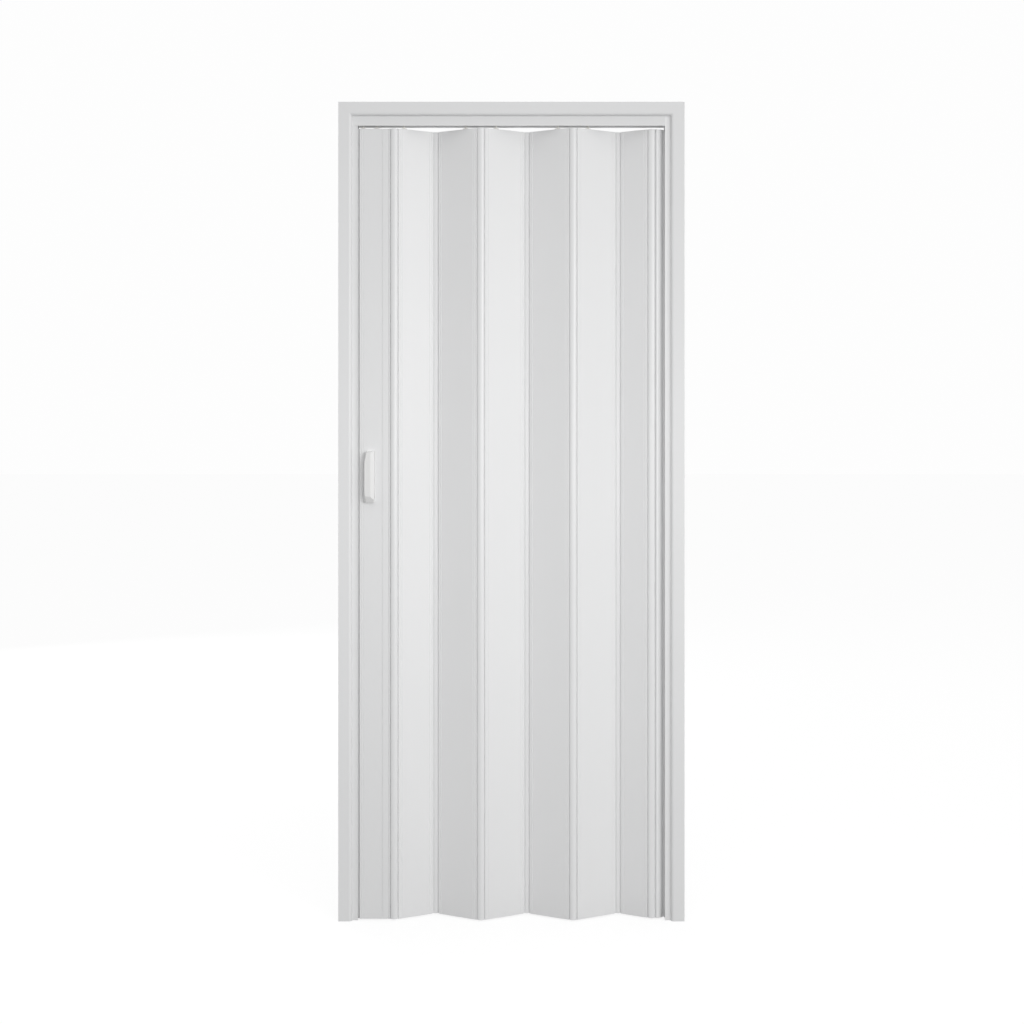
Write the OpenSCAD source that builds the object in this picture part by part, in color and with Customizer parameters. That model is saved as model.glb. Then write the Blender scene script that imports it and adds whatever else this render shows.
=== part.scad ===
// Accordion door for an interior doorway, in white PVC profiles, closed.
// X runs to the right, front is -Y, Z is up. The floor is z = 0.
// The leaf is a chain of slats that turn by equal and opposite angles, so that one point
// of every slat stays on the track line, and the glides hang the leaf there.

/* [Doorway] */
// Width of the finished opening
opening_w = 840; // [825:1:855]
// Height of the finished opening
opening_h = 2100; // [1960:1:2300]

/* [Casing] */
// Width of the casing's face
casing_w = 35; // [30:1:60]
// Casing width that covers the edge of the jamb
casing_lap = 5; // [4.5:0.1:6]
// Casing thickness, standing proud of the wall
casing_t = 8.5; // [8.2:0.1:12]
// Wall of the hollow casing
casing_wall = 1.2; // [1:0.1:1.6]
// Radius of the casing's inner front edge
casing_edge_r = 8; // [6:0.1:8.2]
// Width of each bar that joins the casing's front to its back
casing_rib_t = 1.2; // [0.8:0.1:2]
// Length of the tongue that clips the casing to the frame
tongue_l = 5.5; // [4:0.1:5.6]
// Thickness of that tongue
tongue_t = 1.4; // [1:0.1:1.6]

/* [Frame] */
// Depth of the jambs and the rail, through the wall
frame_d = 28; // [28:1:36]
// Width of each jamb, out from the edge of the opening
jamb_w = 20; // [19:1:26]
// Wall of the jamb and rail channels
channel_wall = 1.8; // [1.4:0.1:2.2]
// Thickness of the jamb's front and back legs
jamb_leg_t = 2.6; // [2.4:0.1:3]
// Depth of the hollow curve on the legs' outer faces
cove_depth = 1.2; // [0.6:0.1:1.4]
// Height of the top rail
rail_h = 30; // [26:1:40]
// Width of the slot under the rail
slot_w = 9; // [7.4:0.1:11]
// Radius of the wall screw holes
wall_hole_r = 2.5; // [2:0.1:3]
// Distance of the outer jamb screws from the jamb's ends
jamb_hole_end = 120; // [60:5:300]
// Distance of the outer rail screws from the sides of the opening
rail_hole_end = 90; // [80:5:110]
// Width of the steel strip that the magnet closes on
strike_w = 10; // [8:0.5:11]
// Thickness of the steel strip
strike_t = 0.8; // [0.6:0.1:1]
// Length left bare at each end of the steel strip
strike_end = 30; // [10:1:80]

/* [Leaf] */
// Angle of the slats when the leaf is closed, from the door's plane
closed_angle = 27; // [24:0.5:30]
// Slat thickness
slat_t = 8; // [7:0.1:8.4]
// Wall of the hollow slat
slat_wall = 1.2; // [1:0.1:1.5]
// Corner radius of the slats
slat_corner_r = 1.5; // [0.8:0.1:2]
// Thickness of the ribs inside a slat
rib_t = 1; // [0.8:0.1:1.4]
// Depth of the fine grooves beside each hinge
groove_depth = 0.6; // [0.2:0.05:0.7]
// Radius of the cutter that leaves those grooves
groove_r = 1.2; // [0.8:0.05:1.5]
// First groove's distance from the slat's edge
groove_1 = 4.5; // [3:0.1:6]
// Second groove's distance from the slat's edge
groove_2 = 9.5; // [8:0.1:13]
// Distance from a front hinge to the slat's point on the track line
front_reach = 39; // [36:0.5:42]
// The same distance at the first fold, and so the length of the lead leg
lead_reach = 23; // [22:0.5:26]
// Angle of the slats when the leaf is folded away, from the door's plane
folded_angle = 85; // [75:1:86]
// Gap between the leaf and the floor
floor_gap = 3; // [2:1:15]
// Gap between the leaf and the rail
rail_gap = 7; // [5:0.5:11]
// Distance from the middle of the last front strip to the hinge jamb
end_leg_w = 34; // [33:0.5:40]
// Distance from the end profile's hinge plane out to its front face
end_front = 8; // [5:0.1:8.4]
// Corner radius of the end profile
end_corner_r = 4.4; // [2:0.1:4.4]
// Distance from the track line back to the tongue that holds the end profile
end_depth = 8.1; // [7:0.1:8.3]
// Thickness of that tongue
end_tongue_t = 2.8; // [2:0.1:3]
// Thickness of the two ribs that hold that tongue
grip_t = 1.3; // [1:0.1:1.5]

/* [Hinges] */
// Radius of the bead along each slat's edge
bead_r = 2.5; // [2.2:0.05:2.6]
// Clearance round a bead in its socket
bead_gap = 0.08; // [0.05:0.01:0.1]
// Wall of the socket round a bead
socket_wall = 1.4; // [1.1:0.1:1.5]
// Thickness of the neck that joins a bead to its slat
neck_t = 1.6; // [1.2:0.1:1.8]
// Distance from a hinge's centre to the edge of the slat
neck_l = 5.5; // [5.3:0.1:6]
// Spare turn of a neck in the socket's mouth, each way
mouth_spare = 3; // [1:0.5:5]
// Distance between the two beads of a strip
strip_pitch = 9; // [8.4:0.1:10]
// Width of a strip
cover_w = 17; // [15:0.1:17.5]
// Radius of the strips' rounded faces
cover_r = 14; // [12:0.5:30]
// Height of a strip's crown over its sockets
cover_crown = 1; // [0.6:0.1:1.4]
// Thickness of the strips' covers
cover_t = 1.6; // [1.4:0.1:1.8]

/* [Lead post] */
// Gap between the jamb and the lead post
reveal = 4.5; // [3:0.1:6]
// Lead post width, from its left face to its hinge
post_w = 64.8; // [63:0.1:67]
// Lead post thickness
post_t = 19; // [18.4:0.1:20]
// Lead post wall
post_wall = 1.4; // [1.1:0.1:1.6]
// Width of the nose that closes into the jamb
nose_w = 11; // [10:0.1:11.4]
// Length of the lip on the lead leg, left of its hinge
lip_l = 5.5; // [4:0.1:5.8]
// Clearance round the lip's corner as it turns
lip_gap = 0.15; // [0.1:0.05:0.3]
// Thickness of that lip
lip_t = 1.6; // [1.2:0.1:1.8]
// Distance from the post's left face to its first groove
post_groove_1 = 3; // [2:0.1:5]
// Distance from the post's left face to its second groove
post_groove_2 = 9.5; // [8:0.1:11]
// Thickness of the magnetic strip
magnet_t = 3; // [2:0.1:3.2]
// Width of the magnetic strip
magnet_w = 8; // [6:0.1:8.4]
// Gap between the magnet and the steel strip
magnet_gap = 0.3; // [0.3:0.1:1]

/* [Handles] */
// Handle width
handle_w = 26; // [24:0.5:26]
// Handle length
handle_l = 134; // [110:1:150]
// Height of the handle's lower end over the floor
handle_z = 1088; // [950:1:1150]
// How far a handle stands out from the post
handle_h = 18; // [16:0.5:24]
// Distance from the post's left face to the handle
handle_inset = 13; // [12.6:0.1:13]
// Thickness of the handle's base
handle_base_t = 2.2; // [2:0.1:3]
// Thickness of the handle's grip
handle_wall = 2.4; // [2:0.1:3]
// Width of the sloping right side of the grip
handle_slope = 8; // [5:0.5:9]
// Corner radius at the grip's open side
handle_open_r = 12; // [6:0.5:12]
// Corner radius at the grip's closed side
handle_closed_r = 4; // [2:0.5:6]
// Distance from the handle's ends to its screws
screw_inset = 24; // [20:1:32]
// Radius of the handle screws
screw_r = 1.9; // [1.5:0.05:2.1]
// Radius of the screw heads
screw_head_r = 3.6; // [3.2:0.1:3.8]
// Height of the screw heads
screw_head_h = 2.2; // [1.8:0.1:2.6]
// Radius of the threaded boss behind the front handle
boss_r = 3.6; // [3.4:0.1:4]
// Length of that boss
boss_l = 4.5; // [3:0.1:6]

/* [Glides] */
// Radius of the disc that runs on the rail's lips
disc_r = 7.5; // [6.8:0.1:7.7]
// Thickness of that disc
disc_t = 2.4; // [2:0.1:3]
// Running gap under the disc
disc_gap = 0.3; // [0.2:0.05:0.5]
// Radius of the glide's stem
stem_r = 3; // [2.4:0.1:3.2]
// Length of the glide's plug inside the slat
plug_l = 20; // [12:1:40]
// Thickness of the flange on the slat's top edge
flange_t = 2; // [1.4:0.1:2.6]
// Clearance round the plug
plug_gap = 0.15; // [0.1:0.01:0.25]

/* [Hidden] */
$fn = 48;

eps = 0.01;
fit_gap = 0.1;
// Gap between faces that bear on each other
seat_gap = 0.05;
// Smallest radius inside a hollow
least_r = 0.2;
slat_count = 5;
fold_count = 3;
white = [0.93, 0.93, 0.925];

// Frame
half_w = opening_w / 2;
jamb_x = half_w - jamb_w;
rail_z = opening_h - rail_h;
half_d = frame_d / 2;
casing_in = half_w - casing_lap;
casing_out = casing_in + casing_w;
casing_top = opening_h - casing_lap + casing_w;
// Distance from the casing's inner edge to its tongue
tongue_in = 0.7;
tongue_x = casing_in + tongue_in;
pocket_wall = 1.8;
pocket_floor = 1.4;
// Depth left free at the tongue's end
tongue_spare = 0.5;
pocket_d = tongue_l + tongue_spare;

// Hinge line
socket_r = bead_r + bead_gap;
socket_out = socket_r + socket_wall;
neck_turn = asin(neck_t / 2 / socket_r) + mouth_spare;
post_left = -jamb_x + reveal;
post_x = post_left + post_w;
fold_4_x = jamb_x - end_leg_w;
chain_w = fold_4_x - post_x - (2 * fold_count + 0.5) * strip_pitch;
run_x = cos(closed_angle);
run_y = sin(closed_angle);
// Each slat is as wide as the narrow slat and its own reach together, and the lead leg is
// as wide as the first slat's reach.
narrow_w = (chain_w / run_x - (slat_count - 1) * front_reach - 2 * lead_reach)
    / (slat_count + 1);
slat_w = narrow_w + front_reach;
back_3_x = fold_4_x - narrow_w * run_x - strip_pitch;
step_x = slat_w * run_x + strip_pitch;
function reach(i) = i == 1 ? lead_reach : front_reach;
function back_x(i) = back_3_x - 2 * (fold_count - i) * step_x;
function front_x(i) = back_x(i) - strip_pitch - (narrow_w + reach(i)) * run_x;
function front_y(i) = -reach(i) * run_y;
back_y = narrow_w * run_y;
leaf_top = rail_z - rail_gap;
leaf_h = leaf_top - floor_gap;

// The handles lie this far from the track line, one on each face of the post.
post_half = post_t / 2;
seat_y = post_half + seat_gap;

// The part's box is centred on y = 0, so the track line lies a little in front of it.
front_most = -max(seat_y + handle_h, half_d + seat_gap + casing_t,
                  socket_out + cover_crown - front_y(fold_count));
back_most = max(back_y + socket_out + cover_crown, seat_y + handle_h);
track_y = -(front_most + back_most) / 2;

// The end profile slopes back until it reaches its tongue.
end_body_l = (end_depth + fit_gap + slat_t / 2 * run_x) / run_y - neck_l;

// Lead post, measured from its hinge
pocket_r = norm([lip_l, post_half]) + lip_gap;
nose_x = -half_w + channel_wall + strike_t + magnet_gap + magnet_t - post_x;
lip_edge = sqrt(pocket_r * pocket_r - post_half * post_half);
web_y = socket_out - post_wall;
// Distance from the post's left face to its left rib
left_rib_in = 15.5;
// Distance from the lip's pocket to the right rib
right_rib_in = 18.4;
left_rib_x = -post_w + left_rib_in;
right_rib_x = -pocket_r - right_rib_in;
room_left = [-post_w + post_wall, left_rib_x - post_wall / 2];
room_middle = [left_rib_x + post_wall / 2, right_rib_x - post_wall / 2];
room_right = [right_rib_x + post_wall / 2, -pocket_r - post_wall - 1];

// Handles and glides
handle_x = post_left + handle_inset;
// Distance from a handle's left edge to its screws
screw_across = 11;
handle_screw_x = handle_x + screw_across;
handle_top = handle_z + handle_l;
screw_heights = [handle_z + screw_inset, handle_top - screw_inset];
// How far a screw's tip stays behind the outer face of the front handle's base
screw_short = 1.5;
screw_tip = -seat_y - handle_base_t + screw_short;
room_w = 13;
disc_z = rail_z + channel_wall + disc_gap;

module at_track(x = 0, y = 0, z = 0) translate([x, track_y + y, z]) children();

// A bar of the given section, from z0 up to z1
module bar(z0, z1) translate([0, 0, z0]) linear_extrude(z1 - z0) children();

module rect(x0, x1, y0, y1) translate([x0, y0]) square([x1 - x0, y1 - y0]);

// A rectangle with its four corners rounded
module round_rect(x0, x1, y0, y1, r) {
    rect(x0 + r, x1 - r, y0, y1);
    rect(x0, x1, y0 + r, y1 - r);
    for (x = [x0 + r, x1 - r], y = [y0 + r, y1 - r])
        translate([x, y]) circle(r);
}

// The wedge from angle a0 to angle a1, out to radius r
module wedge(a0, a1, r) {
    steps = [for (i = [0 : 4]) a0 + (a1 - a0) * i / 4];
    polygon(concat([[0, 0]], [for (a = steps) r * [cos(a), sin(a)]]));
}

// Section of the side casing on the right: wall side at y = 0, front at -casing_t
module casing_section(tongue = true) {
    difference() {
        union() {
            rect(casing_in + casing_edge_r, casing_out, -casing_t, 0);
            rect(casing_in, casing_out, -casing_t + casing_edge_r, 0);
            intersection() {
                translate([casing_in + casing_edge_r, -casing_t + casing_edge_r])
                    circle(casing_edge_r);
                rect(casing_in, casing_out, -casing_t, 0);
            }
        }
        rooms = 3;
        room_0 = casing_in + casing_edge_r;
        room = (casing_out - casing_wall - room_0) / rooms;
        for (i = [0 : rooms - 1])
            rect(room_0 + i * room, room_0 + (i + 1) * room - (i < rooms - 1 ? casing_rib_t : 0),
                 -casing_t + casing_wall, -casing_wall);
    }
    if (tongue)
        rect(tongue_x, tongue_x + tongue_t, -eps, tongue_l);
}

// The casings meet in mitres. What each loses at the right-hand corner lies past the slanting
// line from the corner of the doorway: above it, or beyond it and shifted by d.
module mitre_waste(above, d = 0) {
    far = 2 * casing_w;
    from = [casing_in - far - d, casing_top - casing_w - far];
    to = from + [3 * far, 3 * far];
    rotate([90, 0, 0]) linear_extrude(4 * frame_d, center = true)
        polygon([from, to, above ? [from[0], to[1]] : [to[0], from[1]]]);
}

module casing_right() color(white) difference() {
    at_track(0, -half_d - seat_gap) bar(0, casing_top) casing_section();
    mitre_waste(true);
}

// Each tongue stops where the groove that it clips into stops.
module casing_left() color(white) mirror([1, 0, 0]) difference() {
    at_track(0, -half_d - seat_gap) {
        bar(0, rail_z) casing_section();
        bar(rail_z, casing_top) casing_section(false);
    }
    mitre_waste(true);
}

module casing_head() color(white) difference() {
    at_track(0, -half_d - seat_gap, opening_h - half_w) rotate([0, -90, 0]) {
        bar(-jamb_x, casing_out) casing_section();
        bar(-casing_out, -jamb_x) casing_section(false);
    }
    for (side = [0, 1])
        mirror([side, 0, 0]) mitre_waste(false, seat_gap);
}

// Slot behind the front face that takes a casing's tongue
module tongue_pocket() {
    difference() {
        rect(tongue_x - fit_gap - pocket_wall, half_w, -half_d, -half_d + pocket_d + pocket_floor);
        rect(tongue_x - fit_gap, tongue_x + tongue_t + fit_gap, -half_d - eps, -half_d + pocket_d);
    }
}

// Section of the right-hand jamb: an upright channel, open towards the doorway
module jamb_section() {
    cove_w = casing_in - jamb_x;
    cove_r = (cove_w * cove_w / 4 + cove_depth * cove_depth) / (2 * cove_depth);
    difference() {
        rect(jamb_x, half_w, -half_d, half_d);
        rect(jamb_x - eps, half_w - channel_wall, -half_d + jamb_leg_t, half_d - jamb_leg_t);
        rect(tongue_x - fit_gap, tongue_x + tongue_t + fit_gap, -half_d - eps, 0);
        for (side = [-1, 1])
            translate([jamb_x + cove_w / 2, side * (half_d + cove_r - cove_depth)])
                circle(cove_r, $fn = 180);
    }
    tongue_pocket();
}

module wall_holes(x, y, heights)
    for (z = heights)
        translate([x, y, z]) rotate([0, 90, 0])
            translate([0, 0, -channel_wall]) cylinder(r = wall_hole_r, h = 3 * channel_wall);

function even_holes(first, last) = [for (i = [0 : 3]) first + (last - first) * i / 3];
jamb_holes = even_holes(jamb_hole_end, rail_z - jamb_hole_end);
rail_holes = even_holes(rail_hole_end - half_w, half_w - rail_hole_end);
strike_hole_y = (strike_w / 2 + half_d - jamb_leg_t) / 2;

module strike_jamb() color(white) at_track() difference() {
    mirror([1, 0, 0]) bar(0, rail_z) jamb_section();
    wall_holes(-half_w, strike_hole_y, jamb_holes);
}

// The tongue of the end profile lies between two ribs inside this jamb.
module hinge_jamb() color(white) at_track() difference() {
    bar(0, opening_h) {
        jamb_section();
        for (y = [end_depth - fit_gap - grip_t, end_depth + end_tongue_t + fit_gap])
            rect(jamb_x + jamb_w / 2, half_w - channel_wall + eps, y, y + grip_t);
    }
    wall_holes(half_w - channel_wall, 0, jamb_holes);
}

// The rail is a channel with two lips, laid along the head of the opening.
module rail_section() {
    difference() {
        rect(rail_z, opening_h, -half_d, half_d);
        rect(rail_z + channel_wall, opening_h - channel_wall,
             -half_d + channel_wall, half_d - channel_wall);
        rect(rail_z - eps, rail_z + 2 * channel_wall, -slot_w / 2, slot_w / 2);
        translate([opening_h - half_w, 0])
            rect(tongue_x - fit_gap, tongue_x + tongue_t + fit_gap, -half_d - eps, 0);
    }
    translate([opening_h - half_w, 0]) tongue_pocket();
}

module top_rail() color(white) at_track() difference() {
    rotate([0, -90, 0]) translate([0, 0, -jamb_x])
        linear_extrude(jamb_x + half_w) rail_section();
    for (x = rail_holes)
        translate([x, 0, opening_h - 2 * channel_wall])
            cylinder(r = wall_hole_r, h = 3 * channel_wall);
}

module strike_strip() color([0.7, 0.71, 0.73])
    at_track() bar(strike_end, rail_z - strike_end)
        rect(-half_w + channel_wall, -half_w + channel_wall + strike_t,
             -strike_w / 2, strike_w / 2);

// A bead with its neck, from the hinge's centre along +x
module bead_section() {
    circle(bead_r);
    rect(0, neck_l + eps, -neck_t / 2, neck_t / 2);
}

// Fine grooves along both faces, at x
module groove_pair(x, half_t)
    for (side = [-1, 1])
        translate([x, side * (half_t + groove_r - groove_depth)]) circle(groove_r);

// Hollow body from x0 to x1, with ribs at the given places and grooves at the given distances
// from its ends
module slat_body(x0, x1, ribs, grooves, r = slat_corner_r, front = slat_t / 2) {
    stops = concat([x0 + slat_wall - rib_t / 2], ribs, [x1 - slat_wall + rib_t / 2]);
    room = [slat_wall - front, slat_t / 2 - slat_wall];
    difference() {
        round_rect(x0, x1, -front, slat_t / 2, r);
        intersection() {
            round_rect(x0 + slat_wall, x1 - slat_wall, room[0], room[1], max(r - slat_wall, least_r));
            union() for (i = [0 : len(stops) - 2])
                rect(stops[i] + rib_t / 2, stops[i + 1] - rib_t / 2, room[0], room[1]);
        }
        for (g = grooves, x = [x0 + g, x1 - g])
            groove_pair(x, slat_t / 2);
    }
}

// Section of a slat of width w, from its first hinge at the origin along +x
module slat_section(w, ribs, grooves = [groove_1, groove_2]) {
    bead_section();
    translate([w, 0]) mirror([1, 0]) bead_section();
    slat_body(neck_l, w - neck_l, ribs, grooves);
}

// The glide's room lies at the track point, and again in its mirror place.
function half_ribs(i) =
    [(neck_l + reach(i) - room_w / 2) / 2, reach(i) - room_w / 2, reach(i) + room_w / 2];
function full_ribs(i, w) =
    concat(half_ribs(i), [w / 2], [for (j = [2 : -1 : 0]) w - half_ribs(i)[j]]);
narrow_ribs = [for (i = [1 : 4]) neck_l + (narrow_w - 2 * neck_l) * i / 5];

// Puts a piece drawn along +x at a front strip's bead: side 1 is its right bead, -1 its left
module at_front(x, y, side)
    at_track(x + side * strip_pitch / 2, y)
        rotate([0, 0, side > 0 ? closed_angle : 180 - closed_angle]) children();

// Odd slats run back to the right, even ones to the left.
function slat_fold(i) = ceil((i + 1) / 2);
function slat_side(i) = i % 2 == 1 ? 1 : -1;
module at_slat(i)
    at_front(front_x(slat_fold(i)), front_y(slat_fold(i)), slat_side(i)) children();

module slat(i) color(white) at_slat(i) {
    w = narrow_w + reach(slat_fold(i));
    bar(floor_gap, leaf_top) slat_section(w, full_ribs(slat_fold(i), w));
}

module narrow_slat() color(white) at_front(fold_4_x, 0, -1)
    bar(floor_gap, leaf_top) slat_section(narrow_w, narrow_ribs);

// Strip with a socket for each of two beads, its mouths towards +y and its cover towards -y
module strip_section() {
    crown = socket_out + cover_crown;
    lip_x = strip_pitch / 2 + socket_out * cos(folded_angle + neck_turn);
    lip_y = socket_out * sin(folded_angle + neck_turn);
    difference() {
        union() {
            for (side = [-1, 1])
                translate([side * strip_pitch / 2, 0]) circle(socket_out);
            rect(-lip_x, lip_x, -socket_out, lip_y);
            intersection() {
                translate([0, cover_r - crown]) difference() {
                    circle(cover_r, $fn = 180);
                    circle(cover_r - cover_t, $fn = 180);
                }
                rect(-cover_w / 2, cover_w / 2, -crown, 0);
            }
        }
        for (side = [-1, 1])
            translate([side * strip_pitch / 2, 0]) {
                circle(socket_r);
                scale([side, 1])
                    wedge(closed_angle - neck_turn, folded_angle + neck_turn, 3 * bead_r);
            }
    }
}

module front_strip(x, y) color(white) at_track(x, y)
    bar(floor_gap, leaf_top) strip_section();

module back_strip(x) color(white) at_track(x, back_y)
    bar(floor_gap, leaf_top) mirror([0, 1]) strip_section();

// The end profile hinges the leaf to the jamb: it slopes back and grips the channel.
module end_profile() color(white) bar(floor_gap, leaf_top) {
    end_x = fold_4_x + strip_pitch / 2 + (neck_l + end_body_l) * run_x;
    at_front(fold_4_x, 0, 1) {
        bead_section();
        slat_body(neck_l, neck_l + end_body_l, [neck_l + end_body_l / 2], [],
                  end_corner_r, end_front);
    }
    at_track() rect(end_x - slat_wall, half_w - channel_wall - 0.5, end_depth, end_depth + end_tongue_t);
}

// The lead leg's flat lip carries the post's face on over the hinge.
module lead_leg() color(white) at_track(post_x) {
    lip_back = -post_half + lip_t;
    lip_right = (post_half - slat_t / 2 * run_x) / run_y * run_x - slat_t / 2 * run_y;
    bar(floor_gap, leaf_top) {
        rotate(-closed_angle) slat_section(lead_reach, [], []);
        polygon([
            [-lip_l, -post_half],
            [lip_right, -post_half],
            [lip_right + 2 * run_y, -post_half + 2 * run_x],
            [lip_right - (lip_t + 1) * run_x / run_y + 2 * run_y, lip_back],
            [-lip_l, lip_back]
        ]);
    }
}

// Section of the lead post, measured from its hinge
module post_section() {
    difference() {
        union() {
            rect(-post_w, socket_out, -post_half, post_half);
            rect(nose_x, -post_w + eps, -nose_w / 2, nose_w / 2);
        }
        intersection() {
            circle(pocket_r);
            rect(-pocket_r, pocket_r, -pocket_r, web_y);
        }
        rect(-lip_edge, pocket_r, -pocket_r, 0);
        for (room = [room_left, room_middle])
            rect(room[0], room[1], -post_half + post_wall, post_half - post_wall);
        difference() {
            rect(room_right[0], room_right[1], -post_half + post_wall, post_half - post_wall);
            circle(pocket_r + post_wall);
        }
        rect(room_right[1] + post_wall, -socket_out - post_wall,
             web_y + post_wall, post_half - post_wall);
        rect(nose_x + post_wall, -post_w - eps, -nose_w / 2 + post_wall, nose_w / 2 - post_wall);
        for (x = [post_groove_1, post_groove_2])
            groove_pair(-post_w + x, post_half);
    }
    difference() {
        union() {
            circle(socket_out);
            rect(-socket_out, socket_out, 0, post_half);
        }
        circle(socket_r);
        wedge(-closed_angle + neck_turn, -folded_angle - neck_turn, 3 * bead_r);
    }
}

module lead_post() color(white) difference() {
    at_track(post_x) bar(floor_gap, leaf_top) post_section();
    for (z = screw_heights) {
        at_track(handle_screw_x, -post_half - eps, z) rotate([-90, 0, 0])
            cylinder(r = boss_r + fit_gap, h = 2 * post_wall);
        at_track(handle_screw_x, post_half - 2 * post_wall, z) rotate([-90, 0, 0])
            cylinder(r = screw_r + fit_gap, h = 3 * post_wall);
    }
}

module magnet_strip() color([0.25, 0.25, 0.26])
    at_track(post_x) bar(floor_gap, leaf_top)
        rect(nose_x - magnet_t, nose_x, -magnet_w / 2, magnet_w / 2);

// Section of a handle on the front face: x from its open side, y = 0 on the post
module handle_section(solid) {
    top_x = handle_w - handle_slope;
    outer = [
        [handle_w, 0],
        [handle_w, -handle_base_t - 1],
        [top_x + 1, -handle_h + 1],
        [top_x - 2, -handle_h],
        [1, -handle_h + 1.5],
        [0, -handle_h + 3.5]
    ];
    difference() {
        polygon(concat(outer, [[0, 0]]));
        if (!solid)
            polygon([
                [-1, -handle_base_t],
                [handle_w - handle_wall - 1, -handle_base_t],
                [top_x - handle_wall + 1, -handle_h + handle_wall + 1],
                [top_x - 4, -handle_h + handle_wall + 0.2],
                [-1, -handle_h + handle_wall + 1.7]
            ]);
    }
}

// The grip's outline from the front: wide corners where it is open, small ones at its right
module handle_outline() {
    intersection() {
        round_rect(0, 3 * handle_w, 0, handle_l, handle_open_r);
        round_rect(-2 * handle_w, handle_w, 0, handle_l, handle_closed_r);
    }
}

module handle_shell() intersection() {
    union() {
        bar(0, handle_l) handle_section(false);
        bar(0, handle_wall) handle_section(true);
        bar(handle_l - handle_wall, handle_l) handle_section(true);
    }
    rotate([90, 0, 0]) linear_extrude(2 * handle_h, center = true) handle_outline();
}

module handle_front() color([0.95, 0.95, 0.945]) difference() {
    union() {
        at_track(handle_x, -seat_y, handle_z) handle_shell();
        for (z = screw_heights)
            at_track(handle_screw_x, -seat_y - eps, z) rotate([-90, 0, 0])
                cylinder(r = boss_r, h = boss_l + eps);
    }
    for (z = screw_heights)
        at_track(handle_screw_x, screw_tip - 0.5, z) rotate([-90, 0, 0])
            cylinder(r = screw_r + 0.05, h = post_half);
}

// The back handle has two holes in its grip, through which the screws are turned.
module handle_back() color([0.95, 0.95, 0.945]) difference() {
    at_track(handle_x, seat_y, handle_z) mirror([0, 1, 0]) handle_shell();
    for (z = screw_heights) {
        at_track(handle_screw_x, post_half - 1, z) rotate([-90, 0, 0])
            cylinder(r = screw_r + fit_gap, h = handle_base_t + 2);
        at_track(handle_screw_x, post_half + handle_h / 2, z) rotate([-90, 0, 0])
            cylinder(r = screw_head_r + 0.6, h = handle_h);
    }
}

module handle_screws() color([0.75, 0.76, 0.78])
    for (z = screw_heights)
        at_track(handle_screw_x, 0, z) rotate([-90, 0, 0]) {
            head_z = seat_y + handle_base_t;
            translate([0, 0, screw_tip]) cylinder(r = screw_r, h = head_z - screw_tip);
            difference() {
                translate([0, 0, head_z]) cylinder(r = screw_head_r, h = screw_head_h);
                for (turn = [0, 90])
                    rotate([0, 0, turn]) translate([0, 0, head_z + screw_head_h])
                        cube([screw_head_r * 1.2, 0.9, 2 * screw_head_h - 2], center = true);
            }
        }

// A glide: plug, flange, stem and disc, round the origin of its slat's top edge
module glide(plug_w, plug_d, flange_w, flange_d) {
    stem_h = disc_z - leaf_top - flange_t;
    translate([-plug_w / 2, -plug_d / 2, leaf_top - plug_l]) cube([plug_w, plug_d, plug_l]);
    translate([-flange_w / 2, -flange_d / 2, leaf_top]) cube([flange_w, flange_d, flange_t]);
    translate([0, 0, leaf_top + flange_t]) cylinder(r = stem_r, h = stem_h);
    translate([0, 0, disc_z]) cylinder(r = disc_r, h = disc_t);
}

module slat_glide(i) color([0.9, 0.9, 0.88]) at_slat(i) translate([reach(slat_fold(i)), 0, 0])
    glide(room_w - rib_t - 2 * plug_gap, slat_t - 2 * slat_wall - 2 * plug_gap, room_w, slat_t);

module lead_glide(room) color([0.9, 0.9, 0.88]) at_track(post_x + (room[0] + room[1]) / 2)
    glide(room[1] - room[0] - 2 * plug_gap, post_t - 2 * post_wall - 2 * plug_gap,
          room[1] - room[0], slat_t);

casing_left();
casing_right();
casing_head();
strike_jamb();
hinge_jamb();
top_rail();
strike_strip();
end_profile();
front_strip(fold_4_x, 0);  // hinge_strip_front_4
narrow_slat();
for (i = [1 : slat_count])
    slat(i);
for (i = [1 : fold_count])
    front_strip(front_x(i), front_y(i));
for (i = [1 : fold_count])
    back_strip(back_x(i));
lead_leg();
lead_post();
magnet_strip();
handle_front();
handle_back();
handle_screws();
for (i = [1 : slat_count])
    slat_glide(i);
lead_glide(room_left);  // lead_glide_left
lead_glide(room_right);  // lead_glide_right
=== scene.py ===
# %% [markdown]
# # A white accordion door in its frame
#
# The door is made of hollow PVC profiles: seven upright panels joined by hinge strips, a post
# that closes against the left jamb, a slotted rail above, and flat casings round the opening.
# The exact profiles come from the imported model. Here they get their finish, the moulded pull
# handles and the screws are modelled, and the light of the photograph is set up.

# %% Load the exact profiles
import bmesh
import bpy
from math import radians
from mathutils import Matrix, Vector


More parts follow.
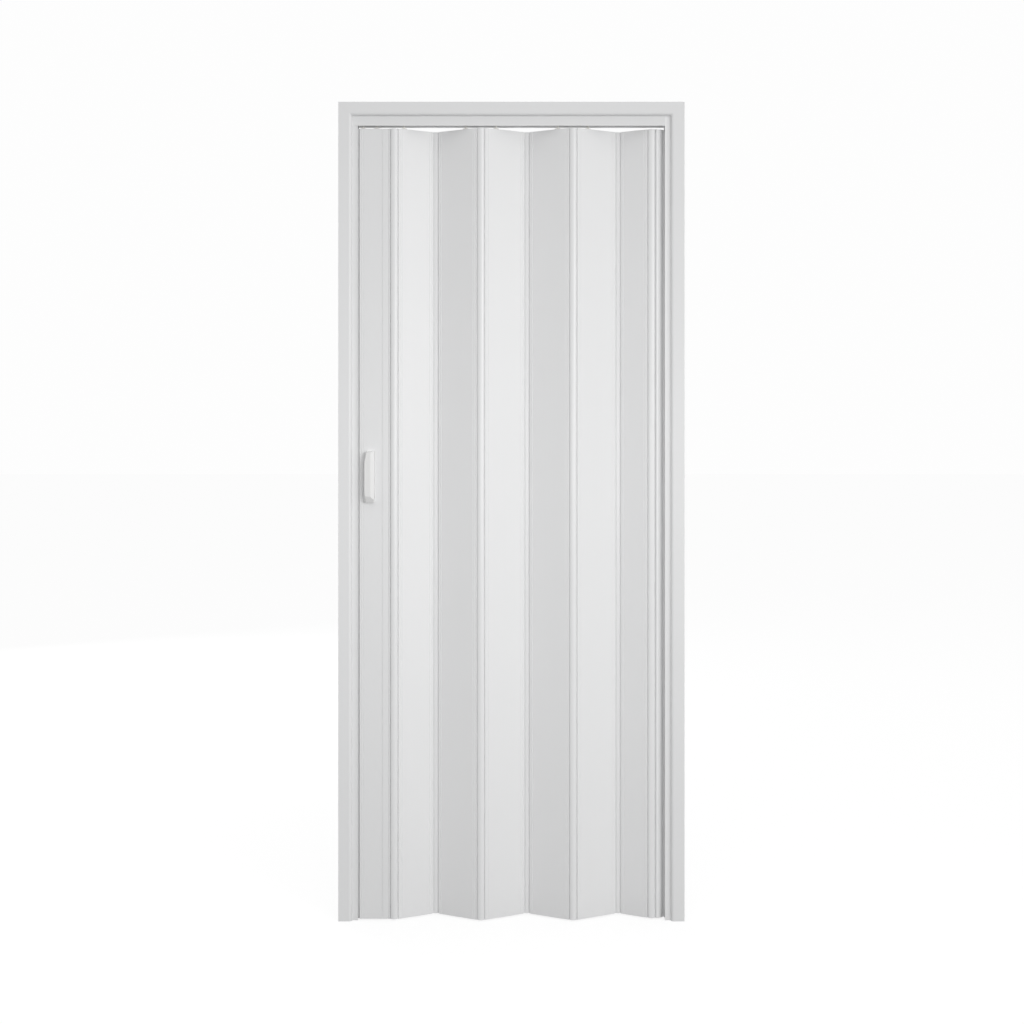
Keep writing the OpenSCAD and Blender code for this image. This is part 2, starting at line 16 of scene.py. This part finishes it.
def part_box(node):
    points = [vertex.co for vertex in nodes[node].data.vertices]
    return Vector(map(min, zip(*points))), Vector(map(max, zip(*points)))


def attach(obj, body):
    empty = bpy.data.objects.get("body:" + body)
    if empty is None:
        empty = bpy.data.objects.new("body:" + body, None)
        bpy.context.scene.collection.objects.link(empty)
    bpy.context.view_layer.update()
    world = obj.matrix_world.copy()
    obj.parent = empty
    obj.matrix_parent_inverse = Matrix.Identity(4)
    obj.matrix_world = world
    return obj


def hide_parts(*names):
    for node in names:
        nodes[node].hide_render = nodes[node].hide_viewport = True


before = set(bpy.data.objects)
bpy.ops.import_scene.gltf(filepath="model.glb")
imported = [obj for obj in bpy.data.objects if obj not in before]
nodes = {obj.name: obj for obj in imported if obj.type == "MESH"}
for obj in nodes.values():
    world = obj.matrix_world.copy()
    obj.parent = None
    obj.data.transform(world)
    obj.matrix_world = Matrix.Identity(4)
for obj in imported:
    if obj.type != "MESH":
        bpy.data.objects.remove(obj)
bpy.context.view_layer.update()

# %% [markdown]
# ## The camera
#
# The photograph is a product picture: its uprights are parallel, so the camera stood level.
# A level camera could be placed at the middle of the door, but the folds show their lower ends
# more than their upper ones, so it stood higher, about a metre and a quarter from the floor,
# and the picture was framed by shifting the lens down.

# %% Camera
MM = 0.001
camera_data = bpy.data.cameras.new("camera")
camera_data.sensor_width = 36
camera_data.lens = 51.86
camera_data.shift_x = 0.0006
camera_data.shift_y = -0.065
camera = bpy.data.objects.new("camera", camera_data)
camera.location = (0, -3.864, 1.237)
camera.rotation_euler = (radians(90), 0, 0)
bpy.context.scene.collection.objects.link(camera)
bpy.context.scene.camera = camera
print("camera", tuple(camera.location), "lens", camera_data.lens)

# %% [markdown]
# ## Numbers that flow through a material
#
# A finish is a graph of nodes, and its sums are easier to read as sums. They could be wired up
# one Math node at a time. Here a small class stands for a number in the graph, and each
# operator on it adds the Math node that does the sum. The reflected forms let a plain number
# stand on the left, as in 1 - mask.

# %% A number in a material
class Number:
    """The result of one node in a finish."""

    def __init__(self, finish, socket):
        self.finish, self.socket = finish, socket

    def sum(self, operation, first, second):
        return self.finish.node("ShaderNodeMath", {"operation": operation}, {0: first, 1: second})

    def __add__(self, other):
        return self.sum("ADD", self, other)

    def __radd__(self, other):
        return self.sum("ADD", other, self)

    def __sub__(self, other):
        return self.sum("SUBTRACT", self, other)

    def __rsub__(self, other):
        return self.sum("SUBTRACT", other, self)

    def __mul__(self, other):
        return self.sum("MULTIPLY", self, other)

    def __rmul__(self, other):
        return self.sum("MULTIPLY", other, self)


print("a number adds, subtracts and multiplies, from either side")

# %% [markdown]
# ## A finish to fill
#
# A finish is what a surface does with light, and in Blender it is a graph that ends in an
# output node. The nodes could be placed by hand in the shader editor. Here every node comes
# from one method, which sets it up, links the numbers that it is given and hands its result
# back, so that a finish below reads as a recipe. The world round the door is a graph of the
# same kind, so one class serves both.

# %% A finish
class Finish:
    """A material, or the world, with an empty graph."""

    def __init__(self, owner):
        self.owner = owner
        owner.use_nodes = True
        self.tree = owner.node_tree
        self.tree.nodes.clear()

    def node(self, kind, settings=None, inputs=None, output=0):
        """A new node of this kind; returns the output asked for, as a number."""
        made = self.tree.nodes.new(kind)
        for key, value in (settings or {}).items():
            setattr(made, key, value)
        for key, value in (inputs or {}).items():
            if isinstance(value, Number):
                self.tree.links.new(value.socket, made.inputs[key])
            else:
                made.inputs[key].default_value = value
        return Number(self, made.outputs[output])

    def surface(self, **inputs):
        """Ends the graph in a Principled shader with these inputs; Base_Color is Base Color."""
        shader = self.node("ShaderNodeBsdfPrincipled", None,
                           {name.replace("_", " "): value for name, value in inputs.items()})
        return self.shown(shader)

    def shown(self, shader, output="ShaderNodeOutputMaterial"):
        """Ends the graph in this shader; returns the material or the world."""
        made = self.tree.nodes.new(output)
        self.tree.links.new(shader.socket, made.inputs["Surface"])
        return self.owner


def new_finish(name):
    return Finish(bpy.data.materials.new(name))


print("a finish is filled by node, and ended by surface or shown")

# %% [markdown]
# ## Places and patterns
#
# Every pattern is laid out in metres in the door's own frame, so a line of the extrusion runs
# on along the whole profile. The patterns could be painted as pictures, but those need
# unwrapped faces and blur from close up. A stretched noise gives the faint lines that a die
# leaves, a broad one the slight unevenness of a thin hollow wall, and a band of height finds
# the few centimetres over the floor, which are darkened in patches as painted shade and made
# rougher there.

# %% Patterns that the finishes share
def places(finish):
    return finish.node("ShaderNodeTexCoord", output="Object")


def height(finish):
    return finish.node("ShaderNodeSeparateXYZ", None, {"Vector": places(finish)}, output="Z")


def noise(finish, scale, detail=2.0):
    """A pattern with about this many waves in a metre along x, y and z."""
    where = finish.node("ShaderNodeMapping", None, {"Vector": places(finish), "Scale": scale})
    return finish.node("ShaderNodeTexNoise", None,
                       {"Vector": where, "Scale": 1.0, "Detail": detail, "Roughness": 0.5})


def band(finish, value, low, high):
    """0 under low, 1 over high, and a smooth rise between them."""
    return finish.node("ShaderNodeMapRange", {"interpolation_type": "SMOOTHSTEP", "clamp": True},
                       {"Value": value, "From Min": low, "From Max": high})


def tint(finish, colour, light, amount):
    """The colour, made lighter or darker by amount where light is over or under a half."""
    shade = 1 + (light - 0.5) * amount
    return finish.node("ShaderNodeVectorMath", {"operation": "SCALE"},
                       {0: colour, "Scale": shade})


def bump(finish, high, distance, under=None):
    """A relief of this depth, laid over another where one is given."""
    inputs = {"Height": high, "Distance": distance, "Strength": 1.0}
    if under is not None:
        inputs["Normal"] = under
    return finish.node("ShaderNodeBump", None, inputs)


print("patterns are laid out in metres: noise, bands, tints and reliefs")

# %% [markdown]
# ## White PVC
#
# The profiles are extruded: molten PVC is pressed through a die, so each has faint straight
# lines along its length and a satin gloss that varies a little. A single white would look like
# paint on paper. The recipe takes the direction of the length, because the rail and the head
# casing lie across while all others stand. The end profile beside the wall is the same PVC, but
# it is given a whiter colour, painted light that makes it as bright as the panels facing the
# lamp.

# %% Extruded PVC
DIE_LINE_DEPTH = 0.012 * MM
LOW_SHADE_HEIGHT = 0.09


def extruded(name, colour, along, roughness, waves):
    """Colour, length axis, roughness and the height of the slow waves in the wall."""
    finish = new_finish(name)

    def stretched(across, lengthways):
        return tuple(lengthways if axis == along else across for axis in "XYZ")

    die_lines = noise(finish, stretched(700.0, 1.5), detail=3.0)
    wall_waves = noise(finish, stretched(14.0, 1.8), detail=1.0)
    clouds = noise(finish, (5.0, 5.0, 5.0), detail=3.0)
    # The lowest few centimetres are darkened in patches: painted shade. The same patches also
    # roughen them.
    low_down = 1 - band(finish, height(finish), 0.0, LOW_SHADE_HEIGHT)
    low_shade_patches = low_down * band(finish, clouds, 0.3, 0.75)
    light = clouds * 0.6 + die_lines * 0.4 - low_shade_patches * 0.5
    colour = tint(finish, colour, light, 0.035)
    relief = bump(finish, wall_waves, waves)
    relief = bump(finish, die_lines, DIE_LINE_DEPTH, relief)
    return finish.surface(Base_Color=colour, Normal=relief,
                          Roughness=roughness + die_lines * 0.06 + low_shade_patches * 0.15)


frame_white = (0.785, 0.788, 0.791)
frame_upright = extruded("frame_pvc_upright", frame_white, "Z", 0.36, 0.10 * MM)
frame_across = extruded("frame_pvc_across", frame_white, "X", 0.36, 0.10 * MM)
slat_white = extruded("slat_pvc", (0.83, 0.832, 0.835), "Z", 0.38, 0.30 * MM)
strip_white = extruded("hinge_strip_pvc", (0.81, 0.813, 0.816), "Z", 0.30, 0.05 * MM)
# The end profile's whiter colour is painted light, on the same PVC as the frame.
end_painted_light = extruded("end_profile_pvc_painted_light", (0.86, 0.862, 0.865), "Z", 0.34, 0.08 * MM)
print("PVC finishes:", frame_upright.name, frame_across.name, slat_white.name, strip_white.name,
      end_painted_light.name)

# %% [markdown]
# ## Moulded plastic and nylon
#
# The handle is injection moulded in a mould with a spark eroded face, which leaves a fine even
# grain. The glides are moulded from natural nylon, a warmer and deeper white. Both could share
# the profiles' recipe, but a moulding has no direction, so this one is the same along all
# three axes, with a grain for the relief and broad patches for the gloss and the colour.

# %% Moulded plastic and nylon
def moulded(name, colour, grain, roughness):
    """Colour, grains in a metre and roughness."""
    finish = new_finish(name)
    fine = noise(finish, (grain,) * 3)
    broad = noise(finish, (30.0,) * 3)
    colour = tint(finish, colour, broad, 0.03)
    return finish.surface(Base_Color=colour, Normal=bump(finish, fine, 0.03 * MM),
                          Roughness=roughness + fine * 0.12 + broad * 0.05)


handle_white = moulded("handle_plastic", (0.768, 0.768, 0.764), 1600.0, 0.26)
nylon = moulded("glide_nylon", (0.78, 0.77, 0.73), 700.0, 0.34)
print("mouldings:", handle_white.name, nylon.name)

# %% [markdown]
# ## Zinc plated steel
#
# The strike strip and the screws are steel under a thin coat of zinc. A single grey metal would
# look like a mirror in mist. Brushed lines vary its roughness, and the edges of the zinc's
# small crystals, from a Voronoi pattern, vary its colour.

# %% Zinc plated steel
def zinc_plated(name):
    finish = new_finish(name)
    brushed = noise(finish, (1500.0, 1500.0, 12.0), detail=3.0)
    spangle = finish.node("ShaderNodeTexVoronoi", None,
                          {"Vector": places(finish), "Scale": 160.0}, output="Distance")
    colour = tint(finish, (0.60, 0.61, 0.63), brushed * 0.5 + spangle * 0.5, 0.25)
    return finish.surface(Base_Color=colour, Metallic=1.0, Roughness=0.28 + brushed * 0.16,
                          Normal=bump(finish, brushed, 0.01 * MM))


steel = zinc_plated("zinc_plated_steel")
print("metal:", steel.name)

# %% [markdown]
# ## The magnet
#
# The magnet is a flexible strip of ferrite powder in rubber, nearly black and dull. The closed
# door hides it, so a simple recipe is enough: fine lines from grinding vary its colour, its
# roughness and its relief.

# %% The magnet's rubber
def magnet_rubber(name):
    finish = new_finish(name)
    ground = noise(finish, (1200.0, 1200.0, 40.0), detail=3.0)
    colour = tint(finish, (0.045, 0.045, 0.048), ground, 0.5)
    return finish.surface(Base_Color=colour, Roughness=0.55 + ground * 0.2,
                          Normal=bump(finish, ground, 0.02 * MM))


magnet = magnet_rubber("magnet_strip")
print("rubber:", magnet.name)

# %% [markdown]
# ## Which profile gets which finish
#
# The profiles' shapes are exact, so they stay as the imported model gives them, and only their
# finish is set. Each could be picked by hand, but their names say what they are, so one rule
# serves them all: the rail and the head casing lie across, and the rest of the frame stands.

# %% Give every exact profile its finish
def finish_for(node):
    if node in ("casing_head", "top_rail"):
        return frame_across
    if node.startswith("hinge_strip"):
        return strip_white
    # The end profile takes the whiter PVC, whose extra white is painted light.
    if node == "end_profile":
        return end_painted_light
    if node.startswith("slat") or node == "narrow_slat":
        return slat_white
    if node in ("handle_screws", "strike_strip"):
        return steel
    if node.startswith("handle"):
        return handle_white
    if "glide" in node:
        return nylon
    return magnet if node == "magnet_strip" else frame_upright


for node, thing in nodes.items():
    if not thing.material_slots:
        thing.data.materials.append(finish_for(node))
    for slot in thing.material_slots:
        slot.material = finish_for(node)
print("finished profiles:", len(nodes))

# %% [markdown]
# ## Making a piece out of a mesh
#
# The pull handles and their screws are moulded and headed parts, so their forms are rounder
# than a profile's. Each is built as a mesh in the door's frame, and one function finishes it:
# it merges doubled corners, keeps an edge sharp only where its faces really turn, shades the
# large flat faces flat and the small rounded ones smooth, and ties the piece to the lead post,
# which carries it.

# %% Finish a mesh as a piece on the lead post
SHARP = radians(35)
LARGE_FACE = 60 * MM * MM
SAME_PLACE = 0.05 * MM


def piece(name, mesh, finish, replaced):
    bmesh.ops.remove_doubles(mesh, verts=mesh.verts, dist=SAME_PLACE)
    for edge in mesh.edges:
        edge.smooth = edge.calc_face_angle(0.0) < SHARP
    for face in mesh.faces:
        face.smooth = face.calc_area() < LARGE_FACE
    data = bpy.data.meshes.new(name)
    mesh.to_mesh(data)
    mesh.free()
    data.materials.append(finish)
    made = bpy.data.objects.new(name, data)
    bpy.context.scene.collection.objects.link(made)
    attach(made, "lead_post")
    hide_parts(replaced)
    print(name, "faces", len(data.polygons))
    return made


print("an edge is sharp where its faces turn by", round(SHARP, 3), "radians or more")

# %% [markdown]
# ## Round forms
#
# The screws, their bosses and the holes are round. They could be spun from a drawn outline.
# Here circles stand one behind the other along the axis and each is bridged to the next, which
# needs no drawing and leaves every circle at hand, to be closed or joined to something else.

# %% Circles and turned forms
def ring(mesh, place, radius, segments):
    """A circle round place's z axis, as a list of edges."""
    made = bmesh.ops.create_circle(mesh, cap_ends=False, segments=segments, radius=radius,
                                   matrix=place)
    return list({edge for corner in made["verts"] for edge in corner.link_edges})


def turned(mesh, outline, place, segments=24, closed=False):
    """Circles at (radius, distance) along place's z axis, bridged one to the next."""
    loops = [ring(mesh, place @ Matrix.Translation((0, 0, distance)), radius, segments)
             for radius, distance in outline]
    following = loops[1:] + (loops[:1] if closed else [])
    for loop, after in zip(loops, following):
        bmesh.ops.bridge_loops(mesh, edges=loop + after)
    return loops


print("a turned form has 24 sides unless it is told otherwise")

# %% [markdown]
# ## The pull handles
#
# A handle is one moulding: a foot on the post, a grip that stands out from it, and a mouth on
# the left where the fingers go in. It starts as a block. The photograph shows a bright band
# down the right side and a darker patch at the lower end, so the block is cut aslant in both
# places. A third slanting cut takes off the upper left corner and a shallow one the brow. The
# other corners are rounded, and the faces of the open side are taken away. A wall is then
# given to what is left. The block has only outward corners, so every cut and rounding is clean.
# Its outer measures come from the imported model.

# %% Measures of a handle
post_low, post_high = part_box("lead_post")
front_low, front_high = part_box("handle_front")
seat = 0.05 * MM
wide = front_high.x - front_low.x
tall = front_high.z - front_low.z
proud = post_low.y - seat - front_low.y
print("handle", round(wide, 4), "by", round(tall, 4), "stands out", round(proud, 4))

# %% [markdown]
# ## Cutting and rounding
#
# A slanting face could be made by moving corners. Cutting with a plane is surer, because the
# cut stays flat whatever the block's size, and one new face closes it. A rounding is a bevel of
# some edges. They are chosen by where they lie, since the cuts change their numbers.

# %% Tools for a block
touching, close_by = 0.01 * MM, 0.1 * MM


def edges_where(mesh, test):
    """The edges of which both ends pass the test."""
    return [edge for edge in mesh.edges if all(test(corner.co) for corner in edge.verts)]


def rounded(mesh, edges, radius, steps):
    bmesh.ops.bevel(mesh, geom=edges, offset=radius, offset_type="OFFSET", segments=steps,
                    profile=0.5, affect="EDGES", material=-1, clamp_overlap=True)


def cut_off(mesh, place, outwards):
    """Takes away what lies past the plane and closes the mesh there."""
    cut = bmesh.ops.bisect_plane(mesh, geom=mesh.verts[:] + mesh.edges[:] + mesh.faces[:],
                                 dist=touching, plane_co=place, plane_no=outwards,
                                 clear_outer=True)
    seam = [part for part in cut["geom_cut"] if isinstance(part, bmesh.types.BMEdge)]
    bmesh.ops.holes_fill(mesh, edges=seam)


print("a corner lies in a plane when it is within", touching, "m of it")

# %% [markdown]
# ## The outer form
#
# A handle is made round its own corner: x runs from the open side, y is 0 on the post and
# negative outwards, as at the door's front, and z runs from the foot. The four cuts are made
# first. The roundings follow, the largest first, so that none runs into another.

# %% The outer form of a handle
side_w, side_d = 9 * MM, 4.2 * MM
foot_slope, foot_flat, brow_slope = 15.5 * MM, 11 * MM, 3 * MM
nick_w, nick_l = 5.5 * MM, 30 * MM
open_round, end_round, face_round = 5 * MM, 3 * MM, 1.6 * MM


def outer_form():
    mesh = bmesh.new()
    middle = Matrix.Translation((wide / 2, -proud / 2, tall / 2))
    bmesh.ops.create_cube(mesh, size=1, matrix=middle @ Matrix.Diagonal((wide, proud, tall, 1)))
    cut_off(mesh, (0, 0, tall - nick_l), (-nick_l, 0, nick_w))
    cut_off(mesh, (wide - side_w, -proud, 0), (side_d, -side_w, 0))
    cut_off(mesh, (0, -proud, foot_slope), (0, -foot_slope, foot_flat - proud))
    cut_off(mesh, (0, -proud, tall - brow_slope), (0, -brow_slope, proud))
    rounded(mesh, edges_where(mesh, lambda co: co.x < close_by and co.z < foot_slope + close_by),
            open_round, 5)
    for end in (lambda co: co.x > wide - close_by and co.z < foot_slope,
                lambda co: co.x > wide - close_by and co.z > tall - brow_slope):
        rounded(mesh, edges_where(mesh, end), end_round, 4)
    rounded(mesh, edges_where(mesh, lambda co: co.y < -proud + touching), face_round, 3)
    return mesh


print("cuts: nick, right side, foot, brow. Roundings:", open_round, end_round, face_round)

# %% [markdown]
# ## Holes in the back handle
#
# The back handle needs two holes in its grip for the screwdriver and two in its foot for the
# screws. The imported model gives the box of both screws, and their axes lie one head's radius
# inside its ends. A hole could be cut by a boolean. Here a square is cut out of the flat face
# and its edge is bridged to a circle, so that no overlapping cutter is needed. Bridging tells
# which way round two loops run by the depth between them, so the circle is made a little off
# the face and laid into it afterwards.

# %% The screws' places, and a round hole
screw_low, screw_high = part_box("handle_screws")
head_r = 3.6 * MM
screw_u = (screw_low.x + screw_high.x) / 2 - front_low.x
screw_w = [screw_low.z + head_r - front_low.z, screw_high.z - head_r - front_low.z]
driver_r, screw_hole_r = 4.2 * MM, 2.0 * MM
hole_sides = 16
square_half, square_corner = 1.5, 2.2
bridge_depth = 1 * MM


def round_hole(mesh, u, w, radius, outside):
    """A hole through the front of the grip (outside) or through the foot. The square round it
    is measured in radii: half its side, and a reach that takes in its corners."""
    centre = Vector((u, -proud if outside else 0, w))

    def flat_faces():
        return [face for face in mesh.faces
                if all(abs(corner.co.y - centre.y) < touching for corner in face.verts)]

    for across in (Vector((1, 0, 0)), Vector((0, 0, 1))):
        for side in (-1, 1):
            faces = flat_faces()
            geom = {part for face in faces for part in [face, *face.edges, *face.verts]}
            bmesh.ops.bisect_plane(mesh, geom=list(geom), dist=touching, plane_no=across,
                                   plane_co=centre + across * side * square_half * radius)
    square = min(flat_faces(), key=lambda face: (face.calc_center_median() - centre).length)
    border = list(square.edges)
    bmesh.ops.delete(mesh, geom=[square], context="FACES_ONLY")
    bmesh.ops.subdivide_edges(mesh, edges=border, cuts=hole_sides // 4 - 1)
    border = [edge for edge in mesh.edges if edge.is_boundary
              and (edge.verts[0].co - centre).length < square_corner * radius]
    off_the_face = Matrix.Translation(centre + Vector((0, bridge_depth, 0)))
    rim = ring(mesh, off_the_face @ Matrix.Rotation(radians(90), 4, "X"), radius, hole_sides)
    bmesh.ops.bridge_loops(mesh, edges=border + rim)
    for corner in {corner for edge in rim for corner in edge.verts}:
        corner.co.y = centre.y


print("screws at", [round(w, 4) for w in screw_w], "over the handle's foot")

# %% [markdown]
# ## Both handles
#
# One recipe makes both, and the back one is turned over by a negative scale, so its faces are
# turned back afterwards. The mouth's faces are taken away only after the normals are set,
# because the wall has to grow inwards. Solidify gives the wall, and a small bevel softens the
# edges that are still sharp, since no moulding has quite sharp ones.

# %% The handles
wall, lip_round = 2.4 * MM, 0.5 * MM
LOOKS_TO_OPEN_SIDE = -0.9


def make_handle(name, seat_y, outwards, replaced):
    mesh = outer_form()
    if outwards > 0:
        for w in screw_w:
            round_hole(mesh, screw_u, w, driver_r, True)
            round_hole(mesh, screw_u, w, screw_hole_r, False)
    bmesh.ops.recalc_face_normals(mesh, faces=mesh.faces)
    mouth = [face for face in mesh.faces if face.normal.x < LOOKS_TO_OPEN_SIDE]
    bmesh.ops.delete(mesh, geom=mouth, context="FACES")
    place = Matrix.Translation((front_low.x, seat_y, front_low.z))
    bmesh.ops.transform(mesh, verts=mesh.verts,
                        matrix=place @ Matrix.Diagonal((1, -outwards, 1, 1)))
    if outwards > 0:
        bmesh.ops.reverse_faces(mesh, faces=mesh.faces)
    made = piece(name, mesh, handle_white, replaced)
    shell = made.modifiers.new("wall", "SOLIDIFY")
    shell.thickness, shell.offset, shell.use_even_offset = wall, -1, True
    soft = made.modifiers.new("soft edges", "BEVEL")
    soft.width, soft.segments = lip_round, 2
    soft.limit_method, soft.angle_limit, soft.harden_normals = "ANGLE", SHARP, True


make_handle("pull_handle_front", post_low.y - seat, -1, "handle_front")
make_handle("pull_handle_back", post_high.y + seat, 1, "handle_back")

# %% [markdown]
# ## The bosses that the screws bite in
#
# Two screws go in from the back handle, through the post, into bosses behind the front one. A
# boss is a short tube. It could be cut from a cylinder by a boolean. Here it is turned, and its
# last circle is bridged to its first, which gives the bore and the outside in one go.

# %% The bosses of the front handle
shank_r = 1.9 * MM
boss_r, boss_l = 3.6 * MM, 4.5 * MM


def along_y(x, y, z):
    """A place at this point whose z axis runs to the back of the door."""
    return Matrix.Translation((x, y, z)) @ Matrix.Rotation(radians(-90), 4, "X")


bosses = bmesh.new()
for w in screw_w:
    turned(bosses, [(shank_r, 0), (boss_r, 0), (boss_r, boss_l), (shank_r, boss_l)],
           along_y(front_low.x + screw_u, post_low.y - seat, front_low.z + w), closed=True)
bmesh.ops.recalc_face_normals(bosses, faces=bosses.faces)
piece("handle_bosses", bosses, handle_white, "handle_front")

# %% [markdown]
# ## The cross in a screw's head
#
# The cross takes the screwdriver, and it is punched in when the head is forged. It could be cut
# with two bars. Here a small net of nine squares lies on the head, its five middle squares are
# pushed in, and its border is bridged to the head's rim, so that the head stays one closed
# skin. The middles of the four corner squares lie too far out to be chosen.

# %% The cross in a screw's head
cross_half, cross_depth = 1.1 * MM, 1.1 * MM
past_the_middle = 0.8 * cross_half


def head_net(mesh, place):
    """The net on the head, with its cross pushed in; returns the net's border."""
    made = bmesh.ops.create_grid(mesh, x_segments=3, y_segments=3, size=cross_half, matrix=place)
    faces = {face for corner in made["verts"] for face in corner.link_faces}
    border = [edge for face in faces for edge in face.edges if edge.is_boundary]
    cross = [face for face in faces
             if (face.calc_center_median() - place.translation).length < past_the_middle]
    pushed = bmesh.ops.extrude_face_region(mesh, geom=cross)
    bmesh.ops.delete(mesh, geom=cross, context="FACES")
    moved = [part for part in pushed["geom"] if isinstance(part, bmesh.types.BMVert)]
    bmesh.ops.translate(mesh, verts=moved, vec=place.to_3x3() @ Vector((0, 0, -cross_depth)))
    return border


print("the cross is", cross_depth, "m deep")

# %% [markdown]
# ## The screws
#
# A screw is headed and rolled from wire, so it is round along its whole length: a short point,
# a shank and a domed head. The dome is given in parts of the head's radius and of its height,
# from its underside to its crown. The thread is hidden and is left out.

# %% The screws
head_h = 2.2 * MM
tip_r, tip_l = 0.7 * MM, 1.5 * MM
dome = [(1, 1), (1, 0.6), (0.92, 0.3), (0.7, 0)]
screws = bmesh.new()
length = screw_high.y - screw_low.y
for w in screw_w:
    place = along_y(front_low.x + screw_u, screw_low.y, front_low.z + w)
    outline = [(tip_r, 0), (shank_r, tip_l), (shank_r, length - head_h)]
    outline += [(out * head_r, length - under * head_h) for out, under in dome]
    loops = turned(screws, outline, place)
    bmesh.ops.holes_fill(screws, edges=loops[0])
    border = head_net(screws, place @ Matrix.Translation((0, 0, length)))
    bmesh.ops.bridge_loops(screws, edges=border + loops[-1])
bmesh.ops.recalc_face_normals(screws, faces=screws.faces)
piece("screws_with_cross", screws, steel, "handle_screws")

# %% [markdown]
# ## The floor
#
# The photograph was cut out on white, and the door stands on a plain pale sheet. A white sheet
# would throw so much light back that the white profiles lost their shading. This one is grey to
# the light, so that it lights the underside of the head and the foot of the handle only a
# little and keeps the faint shadow of the door, and it glows for the camera and in reflections,
# so that it shows white.

# %% Floor
def camera_or_mirror(finish):
    """1 for what the camera sees, also in a reflection or through glass, and 0 for light."""
    seen_by = [finish.node("ShaderNodeLightPath", output=f"Is {ray} Ray")
               for ray in ("Camera", "Glossy", "Transmission")]
    either = {"operation": "MAXIMUM"}
    mirrored = finish.node("ShaderNodeMath", either, {0: seen_by[1], 1: seen_by[2]})
    return finish.node("ShaderNodeMath", either, {0: seen_by[0], 1: mirrored})


FLOOR_REACH = 60
floor_grey, floor_glow = (0.25, 0.25, 0.25), 0.79
sheet_finish = new_finish("floor_sheet")
grain = noise(sheet_finish, (40.0, 40.0, 40.0))
matt = sheet_finish.node("ShaderNodeBsdfDiffuse", None,
                         {"Color": tint(sheet_finish, floor_grey, grain, 0.02)})
glow = sheet_finish.node("ShaderNodeEmission", None,
                         {"Color": (1, 1, 1, 1),
                          "Strength": camera_or_mirror(sheet_finish) * floor_glow})
sheet_finish.shown(sheet_finish.node("ShaderNodeAddShader", None, {0: matt, 1: glow}))

sheet = bmesh.new()
bmesh.ops.create_grid(sheet, x_segments=1, y_segments=1, size=FLOOR_REACH)
floor_mesh = bpy.data.meshes.new("floor")
sheet.to_mesh(floor_mesh)
sheet.free()
floor = bpy.data.objects.new("floor", floor_mesh)
floor_mesh.materials.append(sheet_finish.owner)
bpy.context.scene.collection.objects.link(floor)
print("floor reaches", FLOOR_REACH, "m each way")

# %% [markdown]
# ## Background and light
#
# The world gives the soft light of a white room from all round. Like the floor it shows white
# to the camera, while the light that it gives is weaker. A large soft lamp stands far out at
# the right, because the panels that turn to the right are the bright ones. A weak one in front
# makes the door brightest at half its height, as in the photograph, and one behind the door is
# there for views of its back.

# %% World and lamps
room_light, room_seen = 0.73, 0.985
world = bpy.data.worlds.new("studio")
room = Finish(world)
strength = camera_or_mirror(room) * (room_seen - room_light) + room_light
room.shown(room.node("ShaderNodeBackground", None, {"Color": (1, 1, 1, 1), "Strength": strength}),
           "ShaderNodeOutputWorld")
bpy.context.scene.world = world


def soft_lamp(name, place, target, size, power):
    """A rectangle of light at this place, turned to the target."""
    data = bpy.data.lights.new(name, "AREA")
    data.shape, data.energy = "RECTANGLE", power
    data.size, data.size_y = size
    lamp = bpy.data.objects.new(name, data)
    lamp.location = place
    lamp.rotation_euler = (Vector(target) - Vector(place)).to_track_quat("-Z", "Y").to_euler()
    bpy.context.scene.collection.objects.link(lamp)


soft_lamp("key", place=(7.2, -9.6, 2.7), target=(0, 0, 1.1), size=(4.0, 3.2), power=388)
soft_lamp("front", place=(0.1, -1.9, 1.2), target=(0, 0, 1.2), size=(1.2, 0.6), power=8)
soft_lamp("back", place=(-3.2, 4.6, 2.2), target=(0, 0, 1.1), size=(2.0, 1.6), power=60)
bpy.context.scene.view_settings.view_transform = "Standard"
print("world and", len(bpy.data.lights), "lamps are set")
